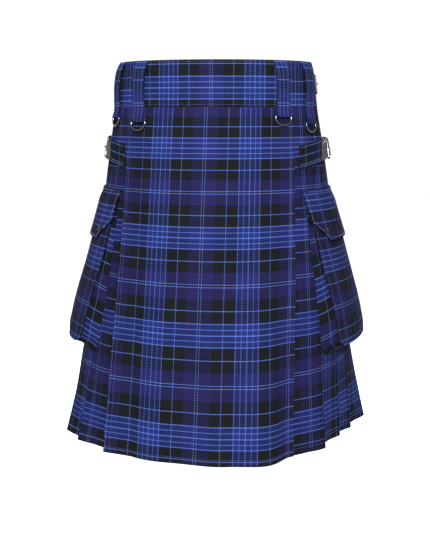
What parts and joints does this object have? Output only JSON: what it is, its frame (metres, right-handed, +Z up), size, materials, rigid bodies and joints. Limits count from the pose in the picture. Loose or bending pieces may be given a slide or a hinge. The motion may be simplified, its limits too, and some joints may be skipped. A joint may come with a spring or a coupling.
{
  "type": "utility kilt",
  "caption": "Knee-length tartan utility kilt, worn form: flat front apron, knife-pleated sides and back, bellows side pockets, belt loops with rings, buckled leather straps.",
  "frame": {"origin": "on the centre line of the body at the height of the waistband's top edge, where the wearer's waist holds it", "axes": "+Z up, the apron faces -Y, +X is the wearer's left"},
  "size_m": [0.5191, 0.4183, 0.6095],
  "materials": {
    "tartan": "twill-woven cloth in blue, navy, black and purple checks, matt with a soft nap",
    "leather": "dark brown-black grain leather, satin",
    "steel": "nickel-plated wire, bright, slightly worn",
    "stud": "gunmetal-coloured press stud cap, satin"
  },
  "bodies": {
    "kilt": {"waistband_front": "tartan", "waistband_left": "tartan", "waistband_right": "tartan", "waistband_under": "tartan", "front_apron": "tartan", "under_apron": "tartan", "pleats_right": "tartan", "pleats_left": "tartan", "loop_front_right": "tartan", "loop_front_left": "tartan", "loop_side_right": "tartan", "loop_side_left": "tartan", "loop_back_right": "tartan", "loop_back_left": "tartan", "pocket_face_right": "tartan", "pocket_gusset_right": "tartan", "pocket_flap_right": "tartan", "stud_right_front": "stud", "stud_right_rear": "stud", "hip_tab_right": "tartan", "chape_waist_right": "leather", "strap_waist_right": "leather", "buckle_waist_right": "steel", "chape_hip_right": "leather", "strap_hip_right": "leather", "buckle_hip_right": "steel", "pocket_face_left": "tartan", "pocket_gusset_left": "tartan", "pocket_flap_left": "tartan", "stud_left_front": "stud", "stud_left_rear": "stud", "hip_tab_left": "tartan", "chape_waist_left": "leather", "strap_waist_left": "leather", "buckle_waist_left": "steel", "chape_hip_left": "leather", "strap_hip_left": "leather", "buckle_hip_left": "steel"},
    "ring_front_right": {"ring_front_right": "steel"},
    "ring_front_left": {"ring_front_left": "steel"},
    "ring_side_right": {"ring_side_right": "steel"},
    "ring_side_left": {"ring_side_left": "steel"}
  },
  "joints": [
    {"name": "ring_front_right_swing", "type": "hinge", "parent": "kilt", "child": "ring_front_right", "pos_m": [-0.112, -0.09587, -0.092], "axis": [-0.8211, 0.5707, 0], "range_deg": [0, 120]},
    {"name": "ring_front_left_swing", "type": "hinge", "parent": "kilt", "child": "ring_front_left", "pos_m": [0.11147, -0.09494, -0.084], "axis": [-0.8258, -0.564, 0], "range_deg": [0, 120]},
    {"name": "ring_side_right_swing", "type": "hinge", "parent": "kilt", "child": "ring_side_right", "pos_m": [-0.15414, -0.05391, -0.086], "axis": [-0.4844, 0.8748, 0], "range_deg": [0, 120]},
    {"name": "ring_side_left_swing", "type": "hinge", "parent": "kilt", "child": "ring_side_left", "pos_m": [0.15344, -0.05732, -0.095], "axis": [-0.5027, -0.8645, 0], "range_deg": [0, 120]}
  ]
}
